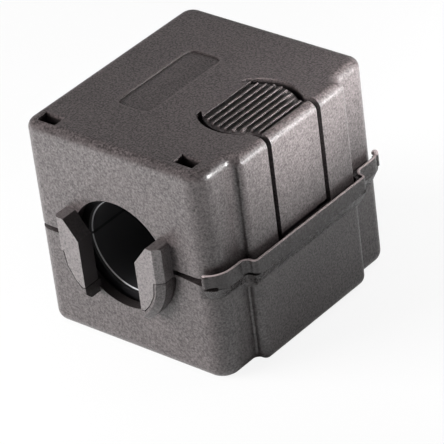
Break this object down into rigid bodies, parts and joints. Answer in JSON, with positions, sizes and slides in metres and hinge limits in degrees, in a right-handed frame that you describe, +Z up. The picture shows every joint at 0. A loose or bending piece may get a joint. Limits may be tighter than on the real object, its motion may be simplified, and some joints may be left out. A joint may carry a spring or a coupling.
{
  "type": "clip-on ferrite bead",
  "caption": "Clip-on ferrite core for a round cable: a hinged plastic housing with a press-to-open latch holds a split ferrite",
  "frame": {"origin": "on the floor under the middle of the box round the closed part", "axes": "X from the hinge to the latch, Y along the cable, Z up; the cable enters at both Y ends"},
  "size_m": [0.0328, 0.0384, 0.0305],
  "materials": {
    "housing": "black polyamide with a fine spark-eroded grain",
    "ferrite": "sintered nickel-zinc ferrite, nearly black, ground smooth"
  },
  "bodies": {
    "base": {"lower_shell": "housing", "core_lower": "ferrite", "film_hinge_front": "housing", "film_hinge_rear": "housing"},
    "lid": {"upper_shell": "housing", "core_upper": "ferrite", "claw_front_hinge": "housing", "claw_front_latch": "housing", "claw_rear_hinge": "housing", "claw_rear_latch": "housing"},
    "latch": {"press_latch": "housing"}
  },
  "joints": [
    {"name": "lid_hinge", "type": "hinge", "parent": "base", "child": "lid", "pos_m": [-0.01615, 0, 0.01525], "axis": [0, -1, 0], "range_deg": [0, 178], "deforming": ["film_hinge_front", "film_hinge_rear", "claw_front_hinge", "claw_front_latch", "claw_rear_hinge", "claw_rear_latch"]},
    {"name": "latch_flex", "type": "hinge", "parent": "lid", "child": "latch", "pos_m": [0.0036, 0, 0.0291], "axis": [0, 1, 0], "range_deg": [0, 3.5], "stiffness_Nm_per_rad": 1.5}
  ]
}
